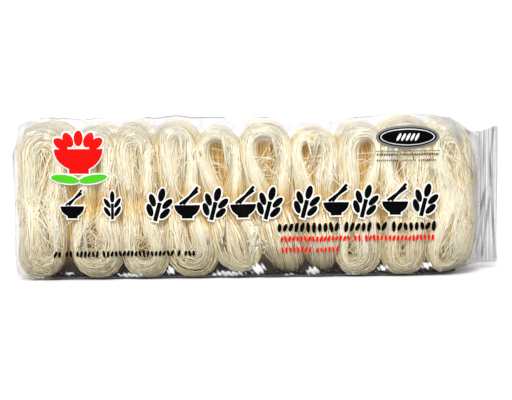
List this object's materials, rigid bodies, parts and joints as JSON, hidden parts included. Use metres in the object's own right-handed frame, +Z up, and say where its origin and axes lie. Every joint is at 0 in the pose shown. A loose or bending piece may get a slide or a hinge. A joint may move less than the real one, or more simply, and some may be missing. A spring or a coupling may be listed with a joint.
{
  "type": "bag of rice vermicelli",
  "caption": "Clear sealed bag of dried rice vermicelli, standing upright: looped skeins side by side under taut film, with a flat crimped seal standing out at one end.",
  "frame": {"origin": "middle of the flat face that the bag rests on, under the middle of its outer box", "axes": "+Z up, +X along the bag towards the end whose seal stands out, -Y towards the shown face"},
  "size_m": [0.3276, 0.075, 0.1089],
  "materials": {
    "film": "clear glossy film over ivory rice vermicelli",
    "vermicelli": "dry rice noodle strands, ivory outside and golden brown in the gaps, with a faint sheen",
    "print": "black, red, green and white ink on the film"
  },
  "bodies": {
    "root": {"vermicelli_bag": "film"}
  },
  "joints": []
}
